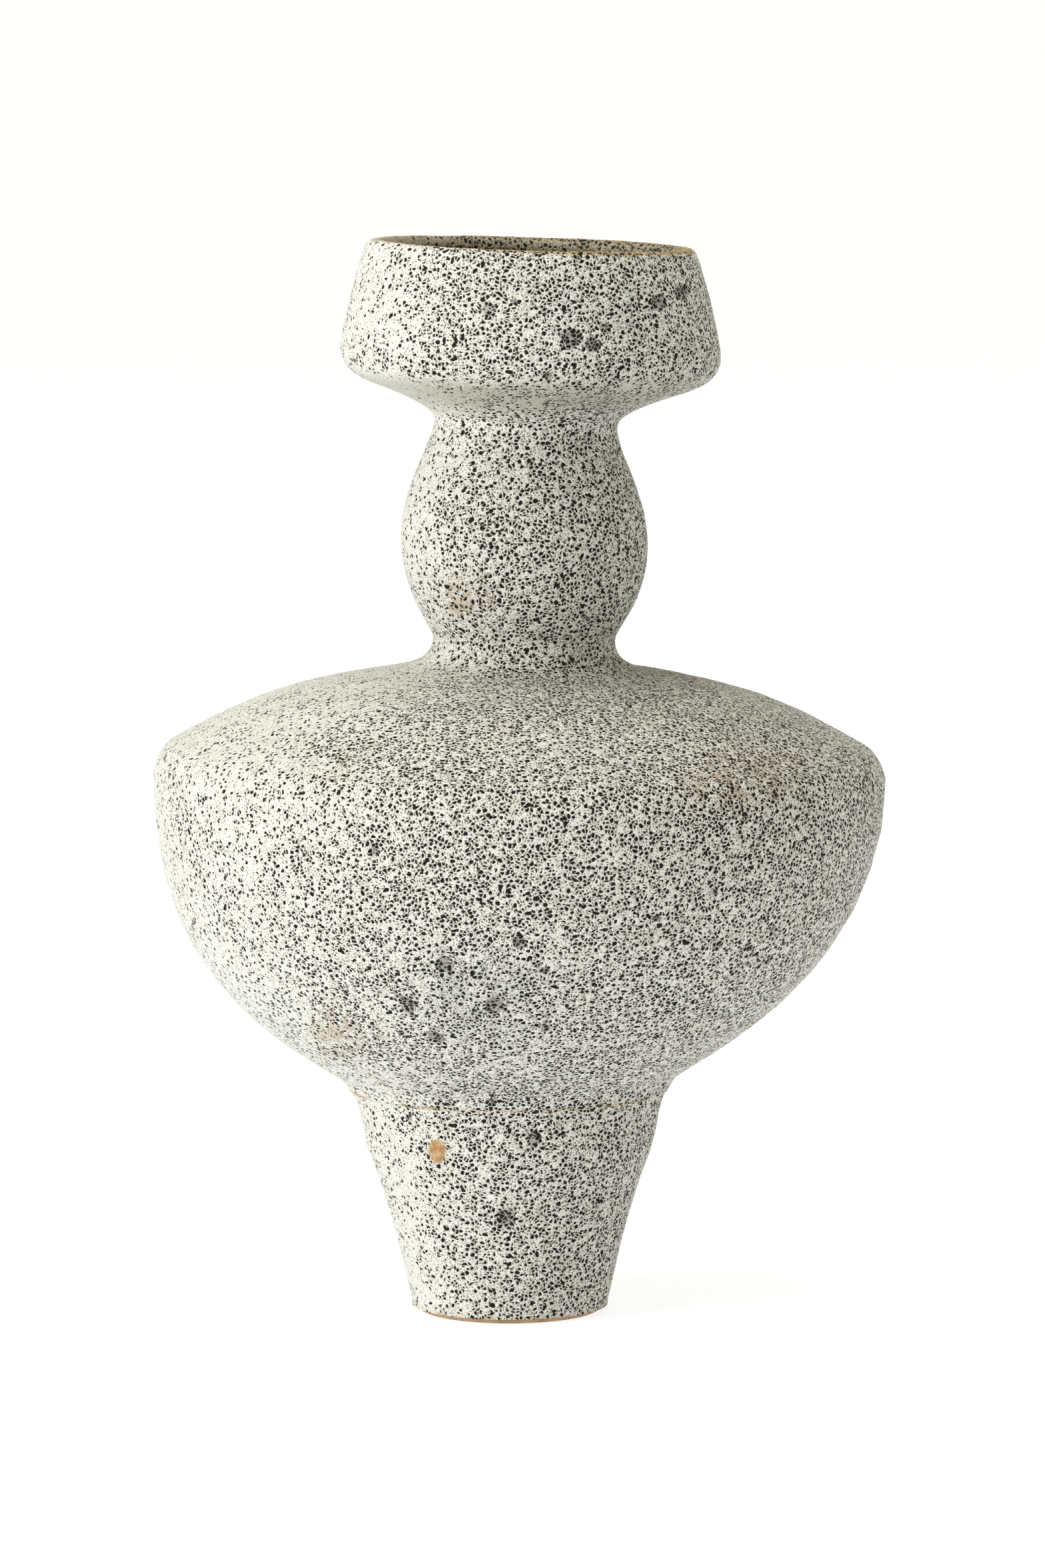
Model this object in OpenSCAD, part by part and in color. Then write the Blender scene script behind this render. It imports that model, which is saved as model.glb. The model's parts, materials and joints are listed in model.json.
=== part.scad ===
// Stoneware vase, built from thrown sections luted together with slip and glazed.
// The vase stands at the origin with +Z up. Lengths are in millimetres.

/* [Foot] */
// Height of the foot, from the table to the seam under the bowl
foot_h = 65; // [54:1:78]
// Diameter just above the rounded base edge
foot_d = 56.2; // [46:0.2:68]
// Radius of the rounded base edge
base_round = 3; // [2:0.5:4]
// Diameter of the foot at the knee, where its side starts to flare
knee_d = 79; // [66:1:90]
// Drop from the bowl's seam down to the knee
knee_drop = 21.5; // [18:0.5:26]
// Wall of the foot
foot_wall = 7; // [5.5:0.1:8.4]
// Thickness of the floor slab
floor_t = 8; // [6:0.5:10]
// Height of the ledge that carries the floor slab
ledge_h = 3; // [2:0.5:4]
// Width of that ledge
ledge_w = 3.5; // [2.5:0.1:4.2]

/* [Belly] */
// Diameter of the flare, where the foot's curve runs out into the bowl
flare_d = 101; // [92:1:115]
// Rise from the foot's seam up to the flare
flare_rise = 5.5; // [4:0.5:7]
// Height of the bowl, from the foot's seam to the widest line
bowl_h = 91.5; // [76:0.5:110]
// Diameter at the widest line
belly_d = 212; // [176:1:255]
// Height of the shoulder, from the widest line to the neck's seam
shoulder_h = 33.5; // [27.5:0.5:41]
// How far the shoulder's rounded edge comes in from the widest line
edge_in = 4; // [3:0.5:6]
// Rise from the widest line to that edge
edge_rise = 8; // [6.5:0.5:10]
// Diameter at the top of the dome, where the neck's fillet starts
dome_d = 101; // [85:1:115]
// Drop from the neck's seam down to the top of the dome
dome_drop = 5.5; // [4.5:0.5:6.5]
// Wall of the bowl
bowl_wall = 6.5; // [5:0.1:8]
// Wall of the shoulder
shoulder_wall = 6; // [5:0.1:7.5]

/* [Neck] */
// Height of the neck, from the shoulder's seam to the collar's seam
neck_h = 72; // [60:0.5:87]
// Diameter of the waist under the bulb
waist_d = 52; // [46:0.5:60]
// Rise from the shoulder's seam up to that waist
waist_rise = 6.5; // [5:0.5:8]
// Diameter of the bulb
bulb_d = 71; // [62:0.5:85]
// Rise from the shoulder's seam up to the widest line of the bulb
bulb_rise = 34; // [28:0.5:40]
// Diameter of the waist over the bulb
throat_d = 52; // [46:0.5:60]
// Drop from the collar's seam down to that waist
throat_drop = 3; // [2.5:0.5:4]
// Wall of the neck
neck_wall = 5.5; // [4.5:0.1:6.6]

/* [Collar] */
// Height of the dish, from the neck's seam to the band's seam in the collar's corner
dish_h = 16; // [13.5:0.5:19.5]
// Diameter at the outer end of the dish's sloping underside
dish_d = 87; // [80:0.5:92]
// Drop from the band's seam down to that end
dish_drop = 9; // [8:0.5:10.5]
// Diameter of the collar just above its rounded corner
collar_d = 109; // [102:0.5:130]
// Rise from the band's seam up to there
corner_rise = 3; // [2.5:0.5:3.5]
// Height of the band, from its seam to the lip coil
band_h = 25; // [21:0.5:30]
// Height of the lip coil
lip_h = 7; // [5:0.5:9]
// Outer diameter just under the rounded lip
rim_d = 95; // [84:0.5:104]
// Wall of the dish
dish_wall = 6; // [5:0.1:7]
// Wall of the band
band_wall = 5; // [4.2:0.1:6]
// Wall of the lip coil
lip_wall = 3.4; // [2.9:0.1:4]

/* [Seams] */
// Thickness of the slip between two sections
slip_t = 0.6; // [0.4:0.1:0.8]
// Width of the ridge that keys two sections together
key_w = 2.4; // [2:0.1:2.8]
// Height of that ridge
key_h = 1.6; // [1:0.1:2]

/* [Glaze] */
// Thickness of the crater glaze
glaze_t = 0.8; // [0.5:0.1:1.2]
// Thickness of the liner glaze inside
liner_t = 0.5; // [0.3:0.1:0.8]
// Height of the bare strip at the base
bare_h = 1.6; // [1:0.1:2]

/* [Smoothness] */
// Steps along each curve of the outline
steps = 10; // [6:1:14]

/* [Hidden] */
$fn = 96;

// Heights of the seams
foot_z = foot_h;
belly_z = foot_z + bowl_h;
neck_z = belly_z + shoulder_h;
collar_z = neck_z + neck_h;
corner_z = collar_z + dish_h;
lip_z = corner_z + band_h;
height = lip_z + lip_h;

// The lip is a half round across its clay and both its glazes
lip_lean = 110;
lip_r = (lip_wall + 2 * glaze_t) / 2;
lip_start_z = height - lip_r * (1 + cos(lip_lean));

// The base edge is an arc that ends where the foot's side starts
base_lean = 78;
base_r = foot_d / 2 - base_round * sin(base_lean);

// Stations up the glazed outside, from the base edge to the lip. Each is
// [radius, height, direction, pull on the curve below, pull on the curve above, clay wall].
// A direction is in degrees from level, and a pull is a share of the curve's chord.
STATIONS = [
    [foot_d / 2, base_round * (1 - cos(base_lean)), base_lean, 0, 0.5, foot_wall],
    [knee_d / 2, foot_z - knee_drop, 67, 0.2, 0.4, foot_wall],
    [flare_d / 2, foot_z + flare_rise, 31, 0.35, 0.25, bowl_wall],
    [belly_d / 2, belly_z, 90, 0.5, 0.2, bowl_wall],
    [belly_d / 2 - edge_in, belly_z + edge_rise, 149, 0.3, 0.55, shoulder_wall],
    [dome_d / 2, neck_z - dome_drop, 168, 0.2, 0.45, shoulder_wall],
    [waist_d / 2, neck_z + waist_rise, 90, 0.35, 0.1, neck_wall],
    [bulb_d / 2, neck_z + bulb_rise, 90, 0.55, 0.45, neck_wall],
    [throat_d / 2, collar_z - throat_drop, 90, 0.2, 0.15, neck_wall],
    [dish_d / 2, corner_z - dish_drop, 18, 0.45, 0.45, dish_wall],
    [collar_d / 2, corner_z + corner_rise, 97, 0.45, 0.25, band_wall],
    [rim_d / 2, lip_start_z, lip_lean, 0.2, 0, lip_wall],
];
LAST = len(STATIONS) - 1;

// A layer of the wall is [depth under the glazed outside, share of the clay wall above it]
GLAZE_FACE = [0, 0];
CLAY_FACE = [glaze_t, 0];
CLAY_INSIDE = [glaze_t, 1];
CUP_FACE = [2 * glaze_t, 1];
LINER_FACE = [glaze_t + liner_t, 1];

function flip(path) = [for (i = [len(path) - 1:-1:0]) path[i]];
function by_height(path) = [for (p = path) [p[1], p[0]]];
function radius_at(path, z) = lookup(z, by_height(path));
function above(path, z) = concat([[radius_at(path, z), z]], [for (p = path) if (p[1] > z) p]);
function below(path, z) = concat([for (p = path) if (p[1] < z) p], [[radius_at(path, z), z]]);

// A station's point, moved in from the outside by a layer's depth
function sunk(s, layer) =
    let (d = layer[0] + layer[1] * s[5])
    [s[0] - d * sin(s[2]), s[1] + d * cos(s[2])];

// A cubic curve from one station to the next at a layer's depth, without its last point
function span(s, e, layer) =
    let (
        a = sunk(s, layer),
        d = sunk(e, layer),
        chord = norm(d - a),
        b = a + s[4] * chord * [cos(s[2]), sin(s[2])],
        c = d - e[3] * chord * [cos(e[2]), sin(e[2])]
    )
    [for (i = [0:steps - 1])
        let (t = i / steps, u = 1 - t)
        u * u * u * a + 3 * u * u * t * b + 3 * u * t * t * c + t * t * t * d];

// The side of the vase at a layer's depth, from the base edge to the lip's start
function side(layer) = concat(
    [for (k = [0:LAST - 1]) each span(STATIONS[k], STATIONS[k + 1], layer)],
    [sunk(STATIONS[LAST], layer)]
);

// The half round over the lip, between the two faces of a layer pair of this radius
function lip_round(r) =
    let (centre = sunk(STATIONS[LAST], [lip_r, 0]))
    [for (i = [1:steps - 1])
        let (a = lip_lean - 90 + 180 * i / steps)
        centre + r * [cos(a), sin(a)]];

// The quarter round under the foot, from the standing ring out to the foot's side
function base_edge(depth) =
    [for (i = [0:steps - 1])
        let (a = -90 + base_lean * i / steps)
        [base_r + (base_round - depth) * cos(a), base_round * (1 + sin(a))]];

OUTSIDE = side(GLAZE_FACE);
CLAY_OUT = side(CLAY_FACE);
CLAY_IN = side(CLAY_INSIDE);
CUP_IN = side(CUP_FACE);
LINER_IN = side(LINER_FACE);

// The floor slab drops in from above on to the ledge of the foot
floor_z = ledge_h + slip_t;
floor_top = floor_z + floor_t;
seat_r = radius_at(CLAY_IN, floor_top);
slab_r = seat_r - slip_t;
ledge_r = seat_r - ledge_w;

// The crater glaze rolls over the lip and lines the collar down to here, inside the neck
cup_z = collar_z - throat_drop;

far_r = belly_d;

// Half section of all the clay sections as if they were one
module clay_half() {
    polygon(concat(
        base_edge(glaze_t),
        CLAY_OUT,
        lip_round(lip_wall / 2),
        flip(above(CLAY_IN, floor_top)),
        [[seat_r, ledge_h], [ledge_r, ledge_h], [ledge_r, 0]]
    ));
}

// Joint face across the wall: level, with a ridge in the middle of the clay
function joint(z) =
    let (mid = (radius_at(CLAY_OUT, z) + radius_at(CLAY_IN, z)) / 2)
    [[0, z], [mid - key_w / 2, z], [mid, z + key_h], [mid + key_w / 2, z], [far_r, z]];
function lifted(path) = [for (p = path) [p[0], p[1] + slip_t]];

// The part of the half section between two faces
module between(lower, upper) {
    intersection() {
        clay_half();
        polygon(concat(lower, flip(upper)));
    }
}
function level(z) = [[0, z], [far_r, z]];

module section(lower, upper) {
    rotate_extrude() between(lower, upper);
}

module slip(z) {
    rotate_extrude() between(joint(z), lifted(joint(z)));
}

module foot_wall_ring() { color("burlywood") section(level(0), joint(foot_z)); }

module belly_bowl() { color("tan") section(lifted(joint(foot_z)), joint(belly_z)); }

module shoulder_dome() { color("burlywood") section(lifted(joint(belly_z)), joint(neck_z)); }

module neck_bulb() { color("tan") section(lifted(joint(neck_z)), joint(collar_z)); }

module collar_dish() { color("burlywood") section(lifted(joint(collar_z)), joint(corner_z)); }

module collar_band() { color("tan") section(lifted(joint(corner_z)), joint(lip_z)); }

module lip_coil() { color("burlywood") section(lifted(joint(lip_z)), level(height + 1)); }

module foot_floor_slab() {
    color("tan")
    translate([0, 0, floor_z])
    cylinder(r = slab_r, h = floor_t);
}

// The slip wraps the slab's edge and lies under it on the ledge
module floor_slip() {
    color("sienna")
    rotate_extrude()
    polygon([
        [ledge_r, ledge_h], [seat_r, ledge_h], [seat_r, floor_top],
        [slab_r, floor_top], [slab_r, floor_z], [ledge_r, floor_z]
    ]);
}

module foot_slip() { color("sienna") slip(foot_z); }
module belly_slip() { color("sienna") slip(belly_z); }
module neck_slip() { color("sienna") slip(neck_z); }
module collar_slip() { color("sienna") slip(collar_z); }
module band_slip() { color("sienna") slip(corner_z); }
module lip_slip() { color("sienna") slip(lip_z); }

// One coat from the bare strip up over the lip and down into the collar
module crater_glaze() {
    color("gainsboro")
    rotate_extrude()
    polygon(concat(
        above(concat(base_edge(0), OUTSIDE), bare_h),
        lip_round(lip_r),
        flip(above(CUP_IN, cup_z)),
        above(CLAY_IN, cup_z),
        flip(lip_round(lip_wall / 2)),
        flip(above(concat(base_edge(glaze_t), CLAY_OUT), bare_h))
    ));
}

// One coat inside, from the top of the neck down over the floor
module liner_glaze() {
    color("silver")
    rotate_extrude()
    polygon(concat(
        [[0, floor_top]],
        above(below(CLAY_IN, cup_z), floor_top),
        flip(above(below(LINER_IN, cup_z), floor_top + liner_t)),
        [[0, floor_top + liner_t]]
    ));
}

foot_wall_ring();
foot_floor_slab();
belly_bowl();
shoulder_dome();
neck_bulb();
collar_dish();
collar_band();
lip_coil();
floor_slip();
foot_slip();
belly_slip();
neck_slip();
collar_slip();
band_slip();
lip_slip();
crater_glaze();
liner_glaze();
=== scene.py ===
# %% [markdown]
# # A stoneware vase under a crater glaze
#
# The vase is made of thrown and coiled sections, joined with slip and covered with one coat of a matte
# glaze that boiled in the kiln and froze full of open pits. The clay sections come from the packed model.
# What Blender adds is the glaze, in bands of fine mesh, the slight lean of a pot made by hand, and the
# finishes.

# %% Load the frame
import json
import math

import bmesh
import bpy
import numpy as np
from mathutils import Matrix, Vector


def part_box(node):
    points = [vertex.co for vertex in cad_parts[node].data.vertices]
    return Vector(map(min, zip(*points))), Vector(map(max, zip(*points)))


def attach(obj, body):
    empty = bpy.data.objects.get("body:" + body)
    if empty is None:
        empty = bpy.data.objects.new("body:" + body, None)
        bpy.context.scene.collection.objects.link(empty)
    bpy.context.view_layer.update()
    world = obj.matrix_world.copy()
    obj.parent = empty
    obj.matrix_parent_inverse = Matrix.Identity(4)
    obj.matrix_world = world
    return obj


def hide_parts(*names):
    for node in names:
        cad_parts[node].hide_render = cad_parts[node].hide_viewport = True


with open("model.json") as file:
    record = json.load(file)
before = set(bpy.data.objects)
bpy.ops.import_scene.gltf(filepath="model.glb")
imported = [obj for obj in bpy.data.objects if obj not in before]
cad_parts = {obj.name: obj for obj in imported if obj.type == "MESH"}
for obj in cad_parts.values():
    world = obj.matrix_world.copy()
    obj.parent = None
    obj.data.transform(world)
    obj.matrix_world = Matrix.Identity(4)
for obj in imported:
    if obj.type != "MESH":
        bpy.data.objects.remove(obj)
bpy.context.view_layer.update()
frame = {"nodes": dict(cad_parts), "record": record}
nodes = frame["nodes"]
MM = 0.001

# %% [markdown]
# ## The camera
# A long lens from far away keeps the pot's outline honest: a wide lens would swell the belly and hide the
# foot. The camera stands a little above the rim, so that the mouth shows as a thin ellipse.

# %% Camera
CAMERA_AWAY = 2270 * MM
CAMERA_HEIGHT = 409 * MM
AIM_HEIGHT = 152.7 * MM
LENS = 181.0
SENSOR = 36.0
SHIFT = (0.0017, 0.0027)
SEES_TO = 200.0

camera_data = bpy.data.cameras.new("camera")
camera_data.lens = LENS
camera_data.sensor_width = SENSOR
camera_data.shift_x, camera_data.shift_y = SHIFT
camera_data.clip_end = SEES_TO
camera = bpy.data.objects.new("camera", camera_data)
bpy.context.scene.collection.objects.link(camera)
camera.location = (0, -CAMERA_AWAY, CAMERA_HEIGHT)
camera.rotation_euler = (math.atan2(CAMERA_AWAY, CAMERA_HEIGHT - AIM_HEIGHT), 0, 0)
bpy.context.scene.camera = camera
print("the camera looks down by", round(90 - math.degrees(camera.rotation_euler.x), 2), "degrees")

# %% [markdown]
# ## The floor
# A pale floor that runs past the horizon needs no backdrop. It glows a little, as white paper does on a
# light table, so that it comes out nearly white while the pot still throws a faint shadow on it.

# %% Floor
FLOOR_ACROSS = 120.0
FLOOR_SIDES = 64
FLOOR_PAINT = (0.40, 0.41, 0.43, 1)
FLOOR_ROUGH = 0.9
FLOOR_GLOW = 0.80
WHITE = (1.0, 1.0, 1.0)

floor_mesh = bpy.data.meshes.new("floor")
disc = bmesh.new()
bmesh.ops.create_circle(disc, cap_ends=True, segments=FLOOR_SIDES, radius=FLOOR_ACROSS / 2)
disc.to_mesh(floor_mesh)
disc.free()
floor = bpy.data.objects.new("floor", floor_mesh)
bpy.context.scene.collection.objects.link(floor)

floor_paint = bpy.data.materials.new("floor_paint")
floor_paint.use_nodes = True
floor_shader = floor_paint.node_tree.nodes["Principled BSDF"]
floor_shader.inputs["Base Color"].default_value = FLOOR_PAINT
floor_shader.inputs["Roughness"].default_value = FLOOR_ROUGH
floor_shader.inputs["Specular IOR Level"].default_value = 0.0
floor_shader.inputs["Emission Color"].default_value = (*WHITE, 1)
floor_shader.inputs["Emission Strength"].default_value = FLOOR_GLOW
floor_mesh.materials.append(floor_paint)
print("the floor is", FLOOR_ACROSS, "m across")

# %% [markdown]
# ## The sky
# A sky lights the pot from all round. What the camera sees of it can be white while what it sheds is a
# warm grey: a Light Path node tells the two apart.

# %% Sky
SKY_LIGHT = (1.0, 0.94, 0.79)
SKY_POWER = 0.52
SKY_SEEN_POWER = 1.1

world = bpy.data.worlds.new("sky")
bpy.context.scene.world = world
world.use_nodes = True
sky = world.node_tree
sky_light = sky.nodes["Background"]
sky_light.inputs["Color"].default_value = (*SKY_LIGHT, 1)
sky_light.inputs["Strength"].default_value = SKY_POWER
sky_seen = sky.nodes.new("ShaderNodeBackground")
sky_seen.inputs["Color"].default_value = (*WHITE, 1)
sky_seen.inputs["Strength"].default_value = SKY_SEEN_POWER
sky_ray = sky.nodes.new("ShaderNodeLightPath")
sky_mix = sky.nodes.new("ShaderNodeMixShader")
sky.links.new(sky_ray.outputs["Is Camera Ray"], sky_mix.inputs["Fac"])
sky.links.new(sky_light.outputs["Background"], sky_mix.inputs[1])
sky.links.new(sky_seen.outputs["Background"], sky_mix.inputs[2])
sky.links.new(sky_mix.outputs["Shader"], sky.nodes["World Output"].inputs["Surface"])
print("the sky sheds", SKY_POWER, "and shows as", SKY_SEEN_POWER)

# %% [markdown]
# ## The lamps
# One big soft lamp low on the left leaves that side nearly white, and a second one overhead opens the
# shoulder and the mouth. Their size keeps the shadows soft, so the pits and not the shadows carry the
# picture.

# %% Lamps
# what each lamp is called, where it stands in metres, how wide it is, its watts and its colour
LAMPS = [
    ("key", (-2.4, -1.5, 0.95), 1.5, 54.0, WHITE),
    ("top", (-0.2, -0.1, 2.4), 1.4, 24.0, WHITE),
]


def soft_lamp(name, place, across, watts, colour):
    """A round soft box that faces the middle of the pot."""
    data = bpy.data.lights.new(name, "AREA")
    data.shape = "DISK"
    data.size = across
    data.energy = watts
    data.color = colour
    lamp = bpy.data.objects.new(name, data)
    bpy.context.scene.collection.objects.link(lamp)
    lamp.location = place
    back = lamp.location.copy()
    back.z -= AIM_HEIGHT
    lamp.rotation_euler = back.to_track_quat("Z", "Y").to_euler()


for lamp in LAMPS:
    soft_lamp(*lamp)
bpy.context.scene.view_settings.view_transform = "Standard"
print("lamps:", ", ".join(f"{name} {watts:.0f} W" for name, _, _, watts, _ in LAMPS))

# %% [markdown]
# ## Node maths as plain sums
# A glaze takes dozens of small sums. Each one is a Math node, so one small class wraps a socket and
# turns `1 - pits * 2` into the nodes that do it. The same class serves the shader, which paints the pits,
# and the geometry nodes, which sink them, so both are sure to dig in the same places.

# %% The wire class
class Wire:
    """One output socket, or one number or colour, that takes part in sums."""

    def __init__(self, tree, value):
        self.tree = tree
        self.value = value

    def node(self, kind, settings=None, out=0, **links):
        """Makes a node in this wire's tree, sets it up, and returns one of its outputs as a wire."""
        made = self.tree.nodes.new(kind)
        for name, setting in (settings or {}).items():
            setattr(made, name, setting)
        for name, value in links.items():
            socket = made.inputs[int(name[1:]) if name[1:].isdigit() else name.replace("_", " ")]
            value = value.value if isinstance(value, Wire) else value
            if isinstance(value, bpy.types.NodeSocket):
                self.tree.links.new(value, socket)
            else:
                socket.default_value = value
        return Wire(self.tree, made.outputs[out])

    def math(self, operation, *others):
        """One Math node on this wire and the others."""
        links = {f"i{n}": value for n, value in enumerate((self, *others))}
        return self.node("ShaderNodeMath", {"operation": operation}, **links)

    def __add__(self, other):
        return self.math("ADD", other)

    def __sub__(self, other):
        return self.math("SUBTRACT", other)

    def __mul__(self, other):
        return self.math("MULTIPLY", other)

    def __truediv__(self, other):
        return self.math("DIVIDE", other)

    def __rsub__(self, other):
        return Wire(self.tree, other).math("SUBTRACT", self)

    __radd__ = __add__
    __rmul__ = __mul__

    def most(self, other):
        """The larger of the two."""
        return self.math("MAXIMUM", other)

    def least(self, other):
        """The smaller of the two."""
        return self.math("MINIMUM", other)

    def step(self, low, high, to_low=0.0, to_high=1.0):
        """A smooth step from to_low at low to to_high at high."""
        return self.node(
            "ShaderNodeMapRange", {"interpolation_type": "SMOOTHSTEP"},
            Value=self, From_Min=low, From_Max=high, To_Min=to_low, To_Max=to_high,
        )

    def shift(self, other):
        """This vector plus another."""
        return self.node("ShaderNodeVectorMath", {"operation": "ADD"}, i0=self, i1=other)

    def stretch(self, other):
        """This vector times another, axis by axis."""
        return self.node("ShaderNodeVectorMath", {"operation": "MULTIPLY"}, i0=self, i1=other)

    def part(self, axis):
        """One number out of a vector."""
        return self.node("ShaderNodeSeparateXYZ", out="XYZ".index(axis), Vector=self)

    def tint(self, colour, amount):
        """This colour mixed towards another by an amount from 0 to 1."""
        return self.node("ShaderNodeMix", {"data_type": "RGBA"}, out=2, i0=amount, i6=self, i7=colour)


print("the wire class does", ", ".join(name for name in vars(Wire) if not name.startswith("_")))

# %% [markdown]
# ## Noise and cells
# Two textures make the whole glaze. Noise gives soft lumps, and pushes a place about so that nothing lies
# in rows. A Voronoi texture cuts space into cells, which are the bubbles. Every size is in millimetres.

# %% Noise and cells
MIDDLE = (-0.5, -0.5, -0.5)


def noise(place, size, detail=2.0, out=0, rough=0.5):
    """Soft noise from 0 to 1, with lumps about size mm across."""
    return place.node(
        "ShaderNodeTexNoise", out=out, Vector=place, Scale=1 / size, Detail=detail, Roughness=rough
    )


def pushed(place, size, amount):
    """The place, pushed about by up to about half of amount mm."""
    push = noise(place, size, 0.0, out=1).shift(MIDDLE).stretch((amount, amount, amount))
    return place.shift(push)


def cells(place, size, feature):
    """A Voronoi texture whose cells are about size mm wide: a distance, in shares of a cell."""
    settings = {"feature": feature, "voronoi_dimensions": "3D"}
    return place.node("ShaderNodeTexVoronoi", settings, Vector=place, Scale=1 / size)


def drawn(cell):
    """The random number from 0 to 1 that each cell of a Voronoi texture draws."""
    return Wire(cell.tree, cell.value.node.outputs["Color"]).part("X")


# %% [markdown]
# ## Foam and single bubbles
# The glaze is a frozen foam, and a Voronoi texture is the foam's own geometry: its cells are bubbles and
# the surfaces between them are the thin walls. Where the distance to the nearest wall is large the bubble
# has burst open, and the number that each cell draws decides how far. A bubble that stands alone is
# rounder, so it is measured from the cell's middle instead.

# %% Foam and single bubbles
FOAM_EAGER = 2.6
FOAM_CLOSED = 0.42
FOAM_ROUND = 0.62
FOAM_ROUND_SLOPE = 0.7
SMALLEST = 0.001


def foam(place, size, opened, wall):
    """Burst bubbles with thin walls: over 0 inside one and under 0 on the glaze, and how far the wall is."""
    away = cells(place, size, "F1")
    thick = ((opened - drawn(away)) * FOAM_EAGER).step(0.0, 1.0, FOAM_CLOSED, wall)
    wall_away = cells(place, size, "DISTANCE_TO_EDGE")
    rounded = (FOAM_ROUND - thick - away) * FOAM_ROUND_SLOPE
    return (wall_away - thick).least(rounded), wall_away


def bubbles(place, size, bare, swell, widest):
    """How far inside a round bubble a place is: 0 outside and at its edge, 1 at its middle.

    A cell that draws less than bare has no bubble, and swell and widest set the others' radius, in shares
    of a cell.
    """
    away = cells(place, size, "F1")
    reach = ((drawn(away) - bare) * swell).least(widest).most(SMALLEST)
    return (1 - away / reach).most(0.0)


# %% [markdown]
# ## The pattern of pits
# The pits come in four kinds: a fine foam that opens up where the bubbles crowd, bold single pits,
# pinholes in the calm glaze between them, and here and there a sponge, where the glaze boiled hardest and
# only thin walls are left. All of them follow one number, the crowding.

# %% Pits
FOAM_CELL = 1.3
FOAM_WALL = 0.105
BOLD_CELL = 2.6
BOLD_DEPTH = 0.3
SPONGE_CELL = 8.0
SPONGE_FROM, SPONGE_FULL = 1.15, 1.45
PINHOLE_CELL = 0.85
PINHOLE_CALM, PINHOLE_CROWDED = 0.3, 0.16


def pits(place, crowd):
    """The sponges, the pits, the pinholes and how far a foam wall is, at a place in mm and a crowding."""
    loose = pushed(pushed(place, 3.0, 1.3), 0.7, 0.45)
    sponge = bubbles(loose, SPONGE_CELL, bare=1.05 - crowd * 0.5, swell=0.8, widest=0.26)
    sponge = sponge.step(0.0, 0.5).most(crowd.step(SPONGE_FROM, SPONGE_FULL))
    bold = bubbles(loose, BOLD_CELL, bare=1.0 - crowd * 0.55, swell=1.3, widest=0.31)
    pit, wall_away = foam(loose, FOAM_CELL, crowd * 1.5 + sponge * 0.6, FOAM_WALL)
    pit = (pit + sponge * 0.06).most(bold * BOLD_DEPTH - 0.02)
    needed = crowd.step(0.1, 0.9, PINHOLE_CALM, PINHOLE_CROWDED)
    pinhole = cells(pushed(place, 0.6, 0.3), PINHOLE_CELL, "DISTANCE_TO_EDGE") - needed
    return sponge, pit, pinhole, wall_away


print("pit cells are", SPONGE_CELL, BOLD_CELL, FOAM_CELL, "and", PINHOLE_CELL, "mm wide")

# %% [markdown]
# ## The lean of a hand-built pot
# The packed sections share one axis. On the real pot each was set on by eye: the foot sits a little to
# the left, the collar a little to the right, and the collar tips. One function moves any point by its
# height, so every piece of the pot leans together and none cuts into the next.

# %% Lean
# (first height, last height, how far it goes), in mm and then in degrees
SIDEWAYS = [(-1, 0, -3.0), (70, 158, 3.1), (172, 200, 1.3), (248, 282, 1.8)]
TIP = [(20, 72, -0.75), (80, 172, 1.4), (172, 250, 1.35), (250, 282, -0.2)]
OVAL = 0.004
THREE_SIDED = 0.003
RIM_SLOPE = math.tan(math.radians(sum(degrees for _, _, degrees in TIP)))


def eased(z, stages):
    """The sum of smooth steps over height."""
    total = np.zeros_like(z)
    for low, high, amount in stages:
        share = np.clip((z - low) / (high - low), 0, 1)
        total += amount * share * share * (3 - 2 * share)
    return total


def lean(points):
    """Points in metres, moved as the hand-built pot leans. The foot stays flat on the floor."""
    x, y, z = points.T / MM
    bearing = np.arctan2(y, x)
    swell = 1 + OVAL * np.cos(2 * bearing + 0.8 + z / 90) + THREE_SIDED * np.cos(3 * bearing - z / 60)
    tipped = z - x * np.tan(np.radians(eased(z, TIP)))
    return np.stack([x * swell + eased(z, SIDEWAYS), y * swell, tipped], axis=1) * MM


print("the rim tips by", round(math.degrees(math.atan(RIM_SLOPE)), 2), "degrees")

# %% [markdown]
# ## Where the glaze changes
# The glaze is not the same all over. It crowds with pits on one side and stays calm on the other, it is
# smooth under the collar, and iron bled into it here and there. These things change slowly, so they are
# worked out once for each point of the mesh, and the shader only reads them.

# %% Patches
SATIN_RISE = (263, 267)
SATIN_FALL = (271, 277)


def patch(place, x, z, wide, tall):
    """1 in the middle of an oval patch on the front of the pot, falling to 0 at its edge. All in mm."""
    off_x = (place.part("X") - x) / wide
    off_z = (place.part("Z") - z) / tall
    front = place.part("Y").step(-1, 1, 1.0, 0.0)
    return (off_x * off_x + off_z * off_z).step(0.0, 1.0, 1.0, 0.0) * front


def satin(z):
    """1 on the smooth band where the collar turns under, 0 elsewhere."""
    return z.step(*SATIN_RISE) * z.step(*SATIN_FALL, 1.0, 0.0)


# %% [markdown]
# How closely the bubbles crowd is a sum: a floor, more towards the middle and the right, slow drifts and
# smaller spots of noise, less on the satin band, and a lift at each place where the glaze boiled.

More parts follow.
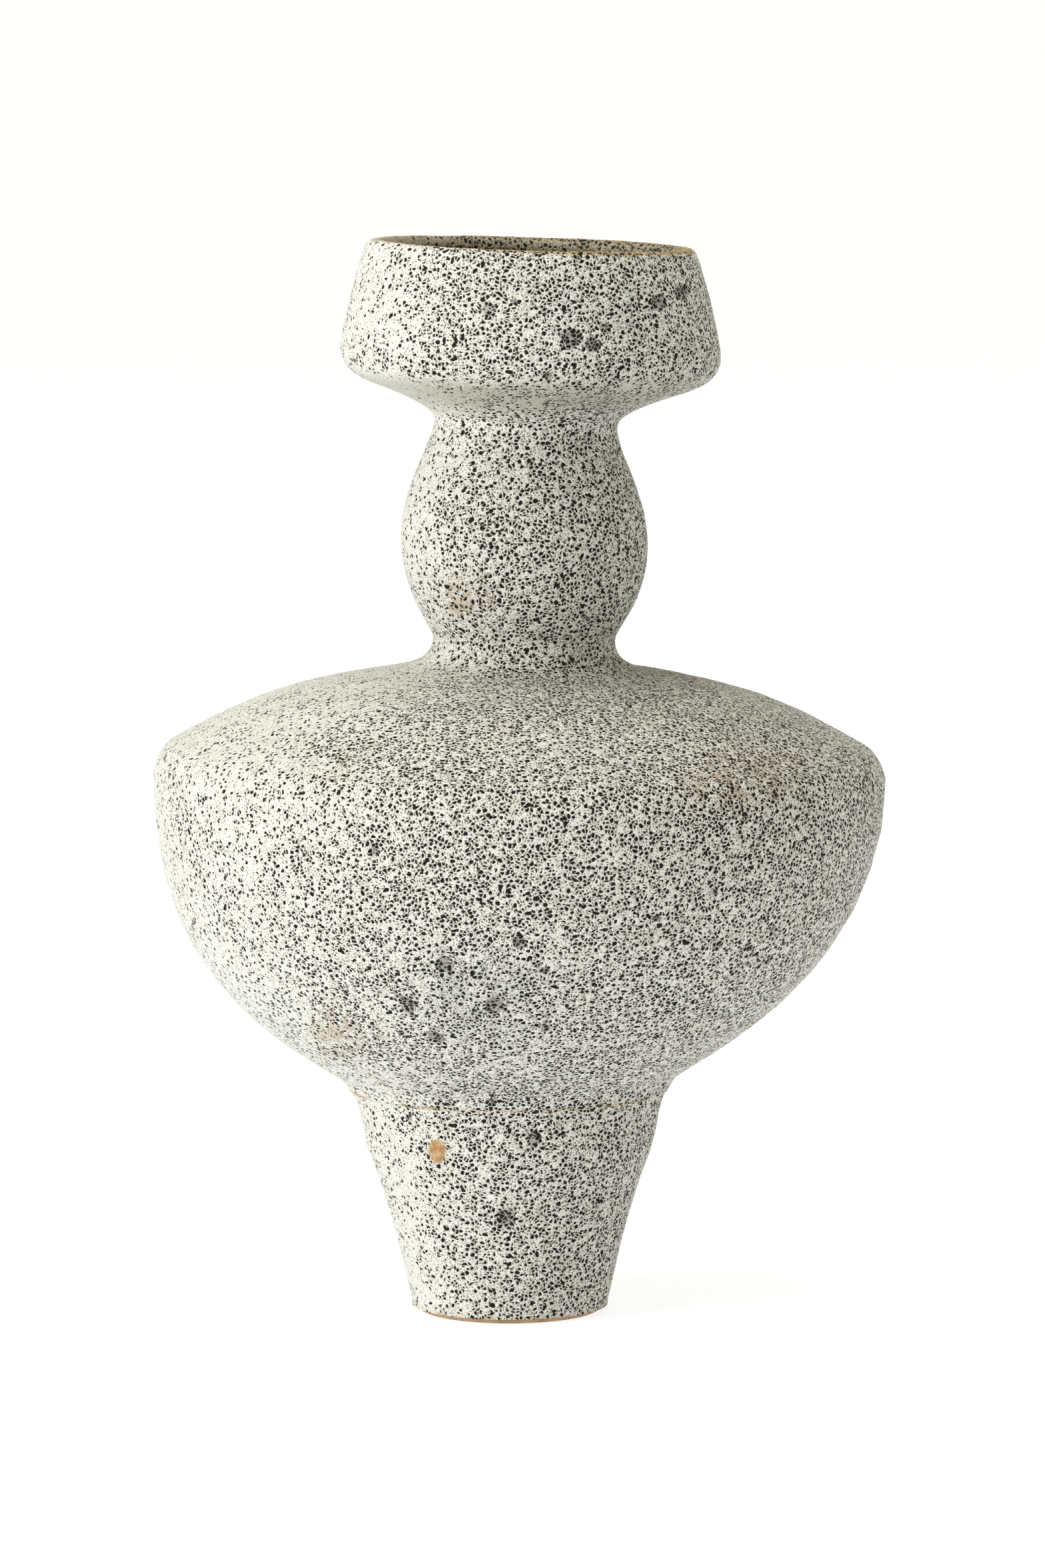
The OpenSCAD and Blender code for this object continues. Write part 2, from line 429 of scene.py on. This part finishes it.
# %% Crowding
# small clusters where the glaze boiled hardest: across, up and half width, in mm
BOILED = [
    (-8.5, 294, 3), (14.5, 286, 4), (20.5, 284, 3), (39, 295, 3), (46, 297.5, 3), (-4, 33, 4), (4, 57, 3),
    (-21, 114, 4), (-7, 102, 4), (-31, 101, 4), (0, 121, 3), (-24, 91, 3),
]
CROWD_LEFT = 0.44
CROWD_MIDDLE = 0.40
CROWD_RIGHT = 0.20
DRIFT_SIZE, DRIFT = 34, 0.55
SPOT_SIZE, SPOT = 9, 0.5
SATIN_CALMS = 0.35
BOILED_LIFT = 0.8
CROWD_MOST = 1.6


def crowding(place):
    """How closely the bubbles crowd, from 0 on bare glaze to over 1 where only thin walls are left."""
    x, y, z = place.part("X"), place.part("Y"), place.part("Z")
    across = x / (x * x + y * y).math("SQRT")
    side = across.step(-0.95, -0.15, 0.0, CROWD_MIDDLE) + across.step(-0.1, 0.7, 0.0, CROWD_RIGHT)
    drifts = noise(place, DRIFT_SIZE, 3.0) - 0.5
    spots = noise(place, SPOT_SIZE, 2.0) - 0.5
    crowd = CROWD_LEFT + side + drifts * DRIFT + spots * SPOT - satin(z) * SATIN_CALMS
    for at_x, at_z, half in BOILED:
        crowd = crowd + patch(place, at_x, at_z, half, half) * BOILED_LIFT
    return crowd.most(0.0).least(CROWD_MOST)


# %% [markdown]
# Stains and bare edges are amounts from 0 to 1, and three of them travel together as one vector. Noise
# makes each of their borders ragged, as running glaze leaves them.

# %% Stains
# where iron bled into the glaze: across, up, half width and half height, in mm
RUSTY = [(62, 163, 24, 9), (-15.5, 211, 11, 8), (-52, 89, 10, 12), (8, 95.5, 0.9, 4)]
HAZY = (-11, 105, 24, 22)
RUST_ALL_OVER = 0.4


def marks(place):
    """Three amounts from 0 to 1, as one vector: rust, blue-grey haze and satin."""
    rust = noise(place, 22, 4.0, rough=0.65).step(0.55, 0.8) * RUST_ALL_OVER
    for patch_of_rust in RUSTY:
        rust = rust + patch(place, *patch_of_rust) * noise(place, 4, 3.0).step(0.38, 0.6)
    haze = patch(place, *HAZY) * noise(place, 6, 3.0).step(0.3, 0.7)
    return place.node("ShaderNodeCombineXYZ", X=rust.least(1.0), Y=haze, Z=satin(place.part("Z")))


# %% [markdown]
# The glaze ran thin where the pot has an edge: on the lip, most on the right, at the heel, most on the left,
# and in a broken line along the seam. There the clay shows through tan. The inside of the collar is
# known by its push, which points at the axis there.

# %% Bare edges
BLEMISH = (-23.5, 52.3, 2.9, 4.2)
LIP_FROM, LIP_FULL = 308.9, 309.6
HEEL_FULL, HEEL_TO = 0.4, 2.6
SEAM_LINE = 65.6


def edges(place, push):
    """Three amounts from 0 to 1, as one vector: bare tan edges, the collar's inside and the blemish."""
    x, y, z = place.part("X"), place.part("Y"), place.part("Z")
    ragged = noise(place, 5, 3.0) - 0.5
    thinner_right = x.step(-25, 20, -0.8, 0.0)
    lip = (z + x * RIM_SLOPE + ragged * 1.4 + thinner_right).step(LIP_FROM, LIP_FULL)
    heel = (z + ragged * 3.0).step(HEEL_FULL, HEEL_TO, 1.0, 0.0) * x.step(-30, 30, 1.0, 0.45)
    seam = (z + ragged * 1.2 - SEAM_LINE).math("ABSOLUTE").step(0.3, 1.1, 0.8, 0.0)
    seam = seam * noise(place, 11).step(0.35, 0.6)
    inside = (push.part("X") * x + push.part("Y") * y).step(-20, -5, 1.0, 0.0)
    blemish = (patch(place, *BLEMISH) + (noise(place, 2.2, 3.0) - 0.5) * 0.7).step(0.12, 0.4)
    return place.node("ShaderNodeCombineXYZ", X=lip.most(heel).most(seam), Y=inside, Z=blemish)


print("the glaze boiled in", len(BOILED), "clusters and took rust in", len(RUSTY), "places")

# %% [markdown]
# ## Materials
# Every finish starts as the same Principled shader with a dull sheen. A fired surface has no gloss coat,
# so its highlight is set low once, and what varies is fed by wires.

# %% Material helpers
SHEEN = 0.25
PLACE = "glaze_place"
CROWD = "glaze_crowd"
MARKS = "glaze_marks"
EDGES = "glaze_edges"


def blank(name):
    """A new material and its Principled shader."""
    made = bpy.data.materials.new(name)
    made.use_nodes = True
    shader = made.node_tree.nodes["Principled BSDF"]
    shader.inputs["Specular IOR Level"].default_value = SHEEN
    return made, shader


def place_of(tree):
    """Where a point is on its object, in mm."""
    return Wire(tree, None).node("ShaderNodeTexCoord", out=3).stretch((1 / MM, 1 / MM, 1 / MM))


def noted(tree, name, out=1):
    """What the mesh has noted at this point under a name: output 1 is a vector and output 2 a number."""
    return Wire(tree, None).node("ShaderNodeAttribute", {"attribute_name": name}, out=out)


def feed(shader, socket, wire):
    """Links a wire to one of the shader's sockets."""
    wire.tree.links.new(wire.value, shader.inputs[socket])


def feed_bump(shader, height, strength):
    """Turns a height in mm into bump on the shader."""
    feed(shader, "Normal", height.node("ShaderNodeBump", Height=height * MM, Strength=strength, Distance=1.0))


# %% [markdown]
# ## The crater glaze
# The glaze is off-white and matte, with tan where it ran thin on the lip, the seam and the foot, and iron
# brown to black inside the pits: the black is partly iron and partly painted shade of holes deeper than the
# mesh, and painted olive shade lies on the slopes down into them. The colours go on as a painter lays
# washes: the large pale ones first, the black of the pits almost last. Bump adds the walls that are too thin
# for the mesh.

# %% Crater glaze
CREAM = (0.82, 0.825, 0.77, 1)
TAN = (0.60, 0.46, 0.25, 1)
BROWN = (0.30, 0.24, 0.15, 1)
SATIN = (0.56, 0.56, 0.47, 1)
HAZE = (0.40, 0.43, 0.44, 1)
INNER = (0.36, 0.31, 0.20, 1)
# olive: painted shade on the slopes down into the pits, and the specks of the pinholes
OLIVE_SHADE_AND_SPECK = (0.13, 0.105, 0.065, 1)
RUST = (0.36, 0.17, 0.055, 1)
PIT_GREY = (0.19, 0.19, 0.18, 1)
# near black: iron in the pits, and painted shade of holes deeper than the mesh
PIT_BLACK_AND_SHADE = (0.006, 0.0055, 0.005, 1)
GLAZE_ROUGH = 0.62
GLAZE_BUMP = 0.8


def crater_glaze():
    """Matte off-white glaze with dark open pits."""
    made, shader = blank("crater_glaze")
    tree = made.node_tree
    place = noted(tree, PLACE)
    crowd = noted(tree, CROWD, out=2)
    stains, bare_edges = noted(tree, MARKS), noted(tree, EDGES)
    rust, haze, smooth = (stains.part(axis) for axis in "XYZ")
    bare, inside, blemish = (bare_edges.part(axis) for axis in "XYZ")
    sponge, pit, pinhole, wall_away = pits(place, crowd)
    holes = pit.step(0.0, 0.06)
    specks = pinhole.step(0.0, 0.08) * (1 - holes)
    slopes = pit.step(-0.12, 0.0)
    mottle = noise(place, 2.0, 3.0)

    washes = [
        (SATIN, smooth * 0.8),
        (HAZE, haze * 0.45),
        (BROWN, (mottle.step(0.48, 0.72) * crowd * 0.35).least(1.0)),
        (TAN, rust * 0.2),
        (TAN, bare),
        (INNER, inside * 0.85),
        (RUST, slopes * rust * 0.35),
        (PIT_GREY, sponge * (0.35 + mottle * 0.6)),
        # painted shade on the slopes into the pits, and olive specks at the pinholes
        (OLIVE_SHADE_AND_SPECK, (slopes * 0.12).most(specks * 0.9)),
        # painted shade: the middles of the pits go black, partly from iron and partly from the shade of a
        # deep hole
        (PIT_BLACK_AND_SHADE, holes),
        (TAN, blemish),
        (RUST, blemish * mottle.step(0.3, 0.6) * 0.8),
    ]
    colour = Wire(tree, CREAM)
    for wash, amount in washes:
        colour = colour.tint(wash, amount)
    feed(shader, "Base Color", colour)
    feed(shader, "Roughness", GLAZE_ROUGH + holes * 0.2 - smooth * 0.2 - inside * 0.2)
    feed_bump(shader, noise(place, 0.8, 2.0) * 0.2 - wall_away.step(0.02, 0.2) * 0.22, GLAZE_BUMP)
    return made


glaze_finish = crater_glaze()
print("crater glaze takes", len(glaze_finish.node_tree.nodes), "nodes")

# %% [markdown]
# ## Clay, slip and liner
# The clay under the foot is bare, coarse and tan, with burnt specks of grog. The slip in the joints is the
# same clay without the glaze's light, so it is darker. The liner is a smoother glaze, poured inside to
# hold water.

# %% Clay and slip
GROG = (0.10, 0.07, 0.045, 1)
CLAY_BUMP = 0.7


def clay(name, light, dark, rough):
    """Coarse fired clay, with specks of grog."""
    made, shader = blank(name)
    place = place_of(made.node_tree)
    grog = foam(place, 1.4, 0.4, 0.2)[0].step(0.0, 0.1)
    colour = Wire(made.node_tree, light).tint(dark, noise(place, 5, 4.0).step(0.4, 0.7))
    feed(shader, "Base Color", colour.tint(GROG, grog * 0.8))
    feed(shader, "Roughness", rough + noise(place, 2) * 0.1)
    feed_bump(shader, noise(place, 0.8, 4.0) * 0.12 + grog * 0.1, CLAY_BUMP)
    return made


# %% Liner
LINER_LIGHT = (0.33, 0.31, 0.23, 1)
LINER_DARK = (0.20, 0.18, 0.12, 1)


def liner():
    """Smooth satin glaze, grey-olive and a little mottled."""
    made, shader = blank("liner_glaze")
    place = place_of(made.node_tree)
    colour = Wire(made.node_tree, LINER_LIGHT).tint(LINER_DARK, noise(place, 12, 4.0).step(0.4, 0.7))
    feed(shader, "Base Color", colour)
    feed(shader, "Roughness", 0.3 + noise(place, 7) * 0.2)
    return made


FINISHES = {
    "stoneware": clay("stoneware", light=(0.42, 0.29, 0.17, 1), dark=(0.30, 0.19, 0.105, 1), rough=0.75),
    "slip": clay("slip", light=(0.24, 0.15, 0.085, 1), dark=(0.17, 0.10, 0.055, 1), rough=0.7),
    "liner_glaze": liner(),
}
print("finishes under the glaze:", ", ".join(FINISHES))

# %% [markdown]
# ## The clay and the slip
# These pieces keep the packed shape and only lean with the pot. Each is a copy of its CAD mesh, whose
# loose triangles are merged first. Edges that turn by more than 30 degrees stay crisp.

# %% Leaned copies
CRISP = math.radians(30)
JOIN_WITHIN = 0.001 * MM


def new_piece(name, mesh, finish, slot, *stands_for):
    """Puts a finished mesh in the scene as a piece of the pot."""
    piece = bpy.data.objects.new(name, mesh)
    bpy.context.scene.collection.objects.link(piece)
    mesh.materials.clear()
    mesh.materials.append(finish)
    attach(piece, "root")
    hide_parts(*stands_for)
    return piece


def merged(node):
    """A bmesh of a packed node, with its loose triangles joined."""
    joined = bmesh.new()
    joined.from_mesh(nodes[node].data)
    bmesh.ops.remove_doubles(joined, verts=joined.verts, dist=JOIN_WITHIN)
    return joined


def leaned(mesh):
    """Moves a mesh's points by lean()."""
    points = np.empty(len(mesh.vertices) * 3)
    mesh.vertices.foreach_get("co", points)
    mesh.vertices.foreach_set("co", lean(points.reshape(-1, 3)).ravel())
    mesh.update()
    return mesh


def leaned_copy(node, finish, slot):
    """A packed node's shape, leaning with the pot."""
    joined = merged(node)
    for edge in joined.edges:
        edge.smooth = len(edge.link_faces) == 2 and edge.calc_face_angle(0) < CRISP
    for face in joined.faces:
        face.smooth = True
    mesh = bpy.data.meshes.new(node + "_fired")
    joined.to_mesh(mesh)
    joined.free()
    return new_piece(node + "_fired", leaned(mesh), finish, slot, node)


for part in frame["record"]["subparts"]:
    slot = part["material_slot"]
    if slot in FINISHES:
        copy = leaned_copy(part["node"], FINISHES[slot], slot)
        print(copy.name, "has", len(copy.data.polygons), "faces")

# %% [markdown]
# ## The glaze's outline
# The coat is a turned shape, so a plane through the axis cuts it into its outline. Reading it off the
# packed node keeps the glaze true to the design. The part that shows runs from the foot up the outside,
# over the lip and down to where the liner takes over.

# %% Read the outline
SAME_LEVEL = 0.01 * MM


def section(node):
    """The node's outline on one side of the axis: radius and height of its points in order, as a loop."""
    cut = merged(node)
    whole = cut.verts[:] + cut.edges[:] + cut.faces[:]
    bmesh.ops.bisect_plane(
        cut, geom=whole, dist=JOIN_WITHIN, plane_co=(0, 0, 0), plane_no=(0, 1, 0),
        clear_inner=True, clear_outer=True,
    )
    point = min((v for v in cut.verts if v.co.x > 0), key=lambda v: (round(v.co.z / MM, 3), -v.co.x))
    loop, came_by = [point], None
    while True:
        edge = next((e for e in point.link_edges if e is not came_by), None)
        point, came_by = edge.other_vert(point), edge
        if point is loop[0]:
            break
        loop.append(point)
    outline = np.array([(v.co.x, v.co.z) for v in loop])
    cut.free()
    return outline


def shown_side(outline, end_height):
    """The points from the loop's first one, by way of the widest, to the inner end at that height."""
    widest = np.argmax(outline[:, 0])
    level = np.flatnonzero(np.abs(outline[:, 1] - end_height) < SAME_LEVEL)
    end = level[np.argmin(outline[level, 0])]
    if widest <= end:
        return outline[: end + 1]
    return np.vstack([outline[:1], outline[:end - 1:-1]])


LINER_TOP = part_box("liner_glaze")[1].z
coat = shown_side(section("crater_glaze"), LINER_TOP)
print("the glaze's outline has", len(coat), "points and ends", round(coat[-1, 1] / MM, 1), "mm up inside")

# %% [markdown]
# The CAD outline is a chain of straight steps. A Catmull-Rom curve passes through the same points and
# rounds between them. Its normals give the way in which the glaze is thick.

# %% Smooth the outline
CURVE_STEPS = 12


def curve_through(points):
    """A Catmull-Rom curve through the points, with a few points between each pair."""
    ends = np.vstack([2 * points[0] - points[1], points, 2 * points[-1] - points[-2]])
    a, b, c, d = ends[:-3, None], ends[1:-2, None], ends[2:-1, None], ends[3:, None]
    t = (np.arange(CURVE_STEPS) / CURVE_STEPS)[None, :, None]
    fine = 0.5 * (2 * b + (c - a) * t + (2 * a - 5 * b + 4 * c - d) * t**2 + (3 * b - a - 3 * c + d) * t**3)
    return np.vstack([fine.reshape(-1, 2), points[-1:]])


def along(points):
    """The distance along a line at each of its points."""
    return np.concatenate([[0], np.cumsum(np.hypot(*np.diff(points, axis=0).T))])


def outward(points):
    """The unit normal at each point, to the right of the way the outline runs."""
    run = np.gradient(points, along(points), axis=0)
    run /= np.hypot(*run.T)[:, None]
    return np.stack([run[:, 1], -run[:, 0]], axis=1)


line = curve_through(coat)
line_s = along(line)
line_normal = outward(line)
print("the line is", round(line_s[-1] / MM), "mm long; its first normal is", line_normal[0].round(2))

# %% [markdown]
# ## Bands of glaze
# One mesh fine enough to hold millimetre pits would be too heavy for one piece, so the coat is made in
# bands that meet edge to edge. They meet where the clay sections do, and the belly's are cut again.

# %% Where the bands meet
OVER_FOOT_SLIP = 0.5 * MM
rim_at = int(np.argmax(line[:, 1]))


def bottom_of(node):
    """The height of a packed node's underside."""
    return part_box(node)[0].z


def place_on_line(height, inside=False):
    """How far along the line the outline is at a height, outside or inside the mouth."""
    if inside:
        return np.interp(-height, -line[rim_at:, 1], line_s[rim_at:])
    return np.interp(height, line[:rim_at + 1, 1], line_s[:rim_at + 1])


SEAM = place_on_line(bottom_of("foot_slip") + OVER_FOOT_SLIP)
BELLY_EDGE = place_on_line(bottom_of("belly_slip"))
NECK_SEAM = place_on_line(bottom_of("neck_slip"))
THROAT_SEAM = place_on_line(bottom_of("collar_slip"))
CORNER_SEAM = place_on_line(bottom_of("band_slip"))
LIP_SEAM = place_on_line(bottom_of("lip_slip"))
LIP_INSIDE = place_on_line(bottom_of("lip_slip"), inside=True)
joints = (SEAM, BELLY_EDGE, NECK_SEAM, THROAT_SEAM, CORNER_SEAM, LIP_SEAM, LIP_INSIDE)
print("joints at", [round(joint / MM, 1) for joint in joints], "mm along the line")

# %% [markdown]
# Rings of points go where the shape needs them: evenly along calm stretches, closer where the outline
# turns. The mesh that is spun is four times coarser than the glaze needs, because a Subdivision Surface
# modifier makes it fine.

# %% Rings
GRID = 0.66 * MM
LEVELS = 2
COARSE = GRID * 4
TURN = 0.55
SAMPLES = 400
SMOOTH_OVER = 17
FEWEST = 4


def stations(start, end):
    """Distances along the line, close where it turns."""
    fine = np.linspace(start, end, SAMPLES)
    x, z = (np.interp(fine, line_s, line[:, n]) for n in (0, 1))
    bearing = np.unwrap(np.arctan2(np.gradient(z), np.gradient(x)))
    turn = np.abs(np.gradient(bearing, fine))
    padded = np.pad(turn, SMOOTH_OVER // 2, mode="edge")
    turn = np.convolve(padded, np.ones(SMOOTH_OVER) / SMOOTH_OVER, mode="valid")
    turned = np.concatenate([[0], np.cumsum(turn[1:] * np.diff(fine))])
    need = (fine - start) / COARSE + turned / TURN
    count = max(FEWEST, int(round(need[-1])))
    return np.interp(np.linspace(0, need[-1], count + 1), need, fine)


# %% [markdown]
# Each band is a thin closed shell. Its outline is a closed loop of points: the side that shows, and behind
# it a hidden side with a quarter of the points. A spin round the axis turns the loop into the shell.

# %% The loop that is spun
THICK = 0.7 * MM
HIDDEN_EVERY = 4
NOT_SHOWN = -1.0


def on_line(at, values):
    """Rows of values that go with the line's points, at some distances along it."""
    return np.stack([np.interp(at, line_s, values[:, n]) for n in (0, 1)], axis=1)


def spin_loop(shell, ring, push, rim, start, end, around):
    """Spins a band's outline round the axis, and returns the mean radius of the side that shows."""
    at = stations(start, end)
    shown = on_line(at, line)
    out = on_line(at, line_normal)
    hidden = (shown - out * THICK)[::-1]
    hidden = hidden[sorted({*range(0, len(hidden), HIDDEN_EVERY), len(hidden) - 1})]
    rims = {0: 1, len(shown) - 1: 2, len(shown): 3, len(shown) + len(hidden) - 1: 4}
    loop = []
    for n, (radius, height) in enumerate(np.vstack([shown, hidden])):
        vert = shell.verts.new((radius, 0, height))
        vert[rim] = rims.get(n, 0)
        vert[ring] = NOT_SHOWN
        if n < len(shown):
            vert[ring] = (at[n] - start) / (end - start)
            vert[push] = (out[n][0], 0, out[n][1])
        loop.append(vert)
    sides = [shell.edges.new((a, b)) for a, b in zip(loop, loop[1:] + loop[:1])]
    bmesh.ops.spin(
        shell, geom=loop + sides, cent=(0, 0, 0), axis=(0, 0, 1), angle=math.tau, steps=around, use_merge=True
    )
    bmesh.ops.recalc_face_normals(shell, faces=shell.faces)
    return shown[:, 0].mean()


# %% [markdown]
# Three things are noted on the shell. Its four rims are creased, so that the bands meet edge to edge.
# Each point learns which way is out, for the relief. And a map lays the band out flat, in strips one above
# the other, for whoever bakes the glaze into a picture.

# %% Rims, pushes and the map
SHOWN_FROM, SHOWN_WIDE = 0.01, 0.96
STRIP_FROM, STRIP_TALL = 0.01, 0.98
HIDDEN_FROM, HIDDEN_WIDE = 0.985, 0.01


def crease_rims(shell, rim, crease):
    """Makes the edges that run along a rim crisp."""
    for edge in shell.edges:
        ends = {vert[rim] for vert in edge.verts}
        if len(ends) == 1 and 0 not in ends:
            edge[crease] = 1.0
            edge.smooth = False


def turn_pushes(shell, push):
    """Turns each point's push from the outline's plane to the point's own side of the pot."""
    for vert in shell.verts:
        side = vert.co.xy.normalized()
        out, _, up = vert[push]
        vert[push] = (side.x * out, side.y * out, up)


def lay_out(shell, ring, uv, strips):
    """Maps the band in strips, one above the other, with the hidden faces in a thin column beside them."""
    for face in shell.faces:
        middle = face.calc_center_median()
        turn = math.atan2(middle.y, middle.x) / math.tau % 1
        strip = int(turn * strips)
        hid = any(vert[ring] < 0 for vert in face.verts)
        for corner in face.loops:
            co = corner.vert.co
            own = (math.atan2(co.y, co.x) / math.tau - turn + 0.5) % 1 - 0.5 + turn
            share = own * strips - strip
            if hid:
                corner[uv].uv = (HIDDEN_FROM + HIDDEN_WIDE * share, co.z / line[rim_at, 1])
            else:
                up = STRIP_FROM + STRIP_TALL * corner.vert[ring]
                corner[uv].uv = (SHOWN_FROM + SHOWN_WIDE * share, (strip + up) / strips)


# %% [markdown]
# ## Relief
# Geometry nodes sink the pits into the fine mesh and add the soft lumps that fingers leave, and the small
# overhang where the belly was luted on the foot. They first note each point's place, crowding, stains
# and edges, which the shader reads, so that colour and hollow agree. The lumps only go outwards, so that
# the clay under the glaze never shows through.

# %% Geometry nodes
SPONGE_DEPTH = 0.45
PIT_DEPTH = 0.3
HAND_SIZE, HAND_LUMP = 26, 0.9
FINGER_SIZE, FINGER_LUMP = 4.5, 0.25
OVERHANG = 0.5
OVERHANG_RISE = (64.8, 65.6)
OVERHANG_FALL = (66, 70)
LOWEST = 0.1


def relief_group():
    """The modifier that notes what the shader needs and then moves each point along its push."""
    tree = bpy.data.node_groups.new("glaze_relief", "GeometryNodeTree")
    tree.interface.new_socket("Geometry", in_out="INPUT", socket_type="NodeSocketGeometry")
    tree.interface.new_socket("Geometry", in_out="OUTPUT", socket_type="NodeSocketGeometry")
    start = Wire(tree, None)
    place = start.node("GeometryNodeInputPosition").stretch((1 / MM, 1 / MM, 1 / MM))
    push = start.node("GeometryNodeInputNamedAttribute", {"data_type": "FLOAT_VECTOR"}, Name="push")
    crowd = crowding(place)
    shape = start.node("NodeGroupInput")
    for name, kind, value in (
        (PLACE, "FLOAT_VECTOR", place), (CROWD, "FLOAT", crowd),
        (MARKS, "FLOAT_VECTOR", marks(place)), (EDGES, "FLOAT_VECTOR", edges(place, push)),
    ):
        settings = {"data_type": kind, "domain": "POINT"}
        shape = start.node(
            "GeometryNodeStoreNamedAttribute", settings, Geometry=shape, Name=name, Value=value
        )
    sponge, pit, *_ = pits(place, crowd)
    dig = (sponge * SPONGE_DEPTH).most(pit.step(-0.1, 0.1) * PIT_DEPTH)
    z = place.part("Z")
    overhang = z.step(*OVERHANG_RISE) * z.step(*OVERHANG_FALL, 1.0, 0.0)
    lumps = noise(place, HAND_SIZE, 2.0) * HAND_LUMP + noise(place, FINGER_SIZE, 2.0) * FINGER_LUMP
    rise = (lumps + overhang * OVERHANG - LOWEST - dig) * MM
    offset = push.node("ShaderNodeVectorMath", {"operation": "SCALE"}, i0=push, Scale=rise)
    moved = start.node("GeometryNodeSetPosition", Geometry=shape, Offset=offset)
    leaving = tree.nodes.new("NodeGroupOutput")
    tree.links.new(moved.value, leaving.inputs[0])
    return tree


glaze_relief = relief_group()
print("the relief takes", len(glaze_relief.nodes), "nodes")

# %% [markdown]
# ## Making the bands
# Every band goes through the same steps: spin, crease, push, map, lean, and then the two modifiers. A band
# of large radius takes more points round, so that its faces stay nearly square.

# %% Glaze band
def glaze_band(name, start, end, around):
    """One band of the glaze coat, from one distance along the line to another."""
    shell = bmesh.new()
    ring = shell.verts.layers.float.new("ring")
    push = shell.verts.layers.float_vector.new("push")
    rim = shell.verts.layers.int.new("rim")
    crease = shell.edges.layers.float.new("crease_edge")
    uv = shell.loops.layers.uv.new("OFBake")
    radius = spin_loop(shell, ring, push, rim, start, end, around)
    crease_rims(shell, rim, crease)
    turn_pushes(shell, push)
    strips = max(1, 2 ** round(math.log2(math.sqrt(math.tau * radius / (end - start)))))
    lay_out(shell, ring, uv, strips)
    for face in shell.faces:
        face.smooth = True
    mesh = bpy.data.meshes.new(name)
    shell.to_mesh(mesh)
    shell.free()
    piece = new_piece(name, leaned(mesh), glaze_finish, "crater_glaze", "crater_glaze")
    fine = piece.modifiers.new("fine", "SUBSURF")
    fine.levels = fine.render_levels = LEVELS
    piece.modifiers.new("relief", "NODES").node_group = glaze_relief
    return piece


# %% [markdown]
# The list runs up the line, so a band starts where the one before it ends. The belly takes six bands and
# the sharp fold above its widest line has one of its own, which keeps each under 200,000 triangles.

# %% Make the bands
AROUND_BELLY = 256
AROUND_COLLAR = 136
AROUND_NECK = 112


def split(start, end, *shares):
    """The places at some shares of the way from start to end."""
    return [start + (end - start) * share for share in shares]


BOWL_CUTS = split(SEAM, BELLY_EDGE, 0.34, 0.68)
SHOULDER_CUTS = split(BELLY_EDGE, NECK_SEAM, 0.12, 0.35, 0.65)
# what each band is called, where it ends along the line, and how many faces go round it
BANDS = [
    ("glaze_foot", SEAM, AROUND_NECK),
    ("glaze_bowl_low", BOWL_CUTS[0], AROUND_BELLY),
    ("glaze_bowl_middle", BOWL_CUTS[1], AROUND_BELLY),
    ("glaze_bowl_high", BELLY_EDGE, AROUND_BELLY),
    ("glaze_fold", SHOULDER_CUTS[0], AROUND_BELLY),
    ("glaze_shoulder_edge", SHOULDER_CUTS[1], AROUND_BELLY),
    ("glaze_shoulder", SHOULDER_CUTS[2], AROUND_BELLY),
    ("glaze_shoulder_top", NECK_SEAM, AROUND_COLLAR),
    ("glaze_neck", THROAT_SEAM, AROUND_NECK),
    ("glaze_dish", CORNER_SEAM, AROUND_COLLAR),
    ("glaze_band", LIP_SEAM, AROUND_COLLAR),
    ("glaze_lip", LIP_INSIDE, AROUND_COLLAR),
    ("glaze_cup", line_s[-1], AROUND_NECK),
]
start = 0.0
for name, end, around in BANDS:
    piece = glaze_band(name, start, end, around)
    seen = piece.evaluated_get(bpy.context.evaluated_depsgraph_get()).data
    print(name, "from", round(start / MM), "to", round(end / MM), "mm:", 2 * len(seen.polygons), "triangles")
    start = end

# %% [markdown]
# The looks may stand only a little proud of the CAD model.
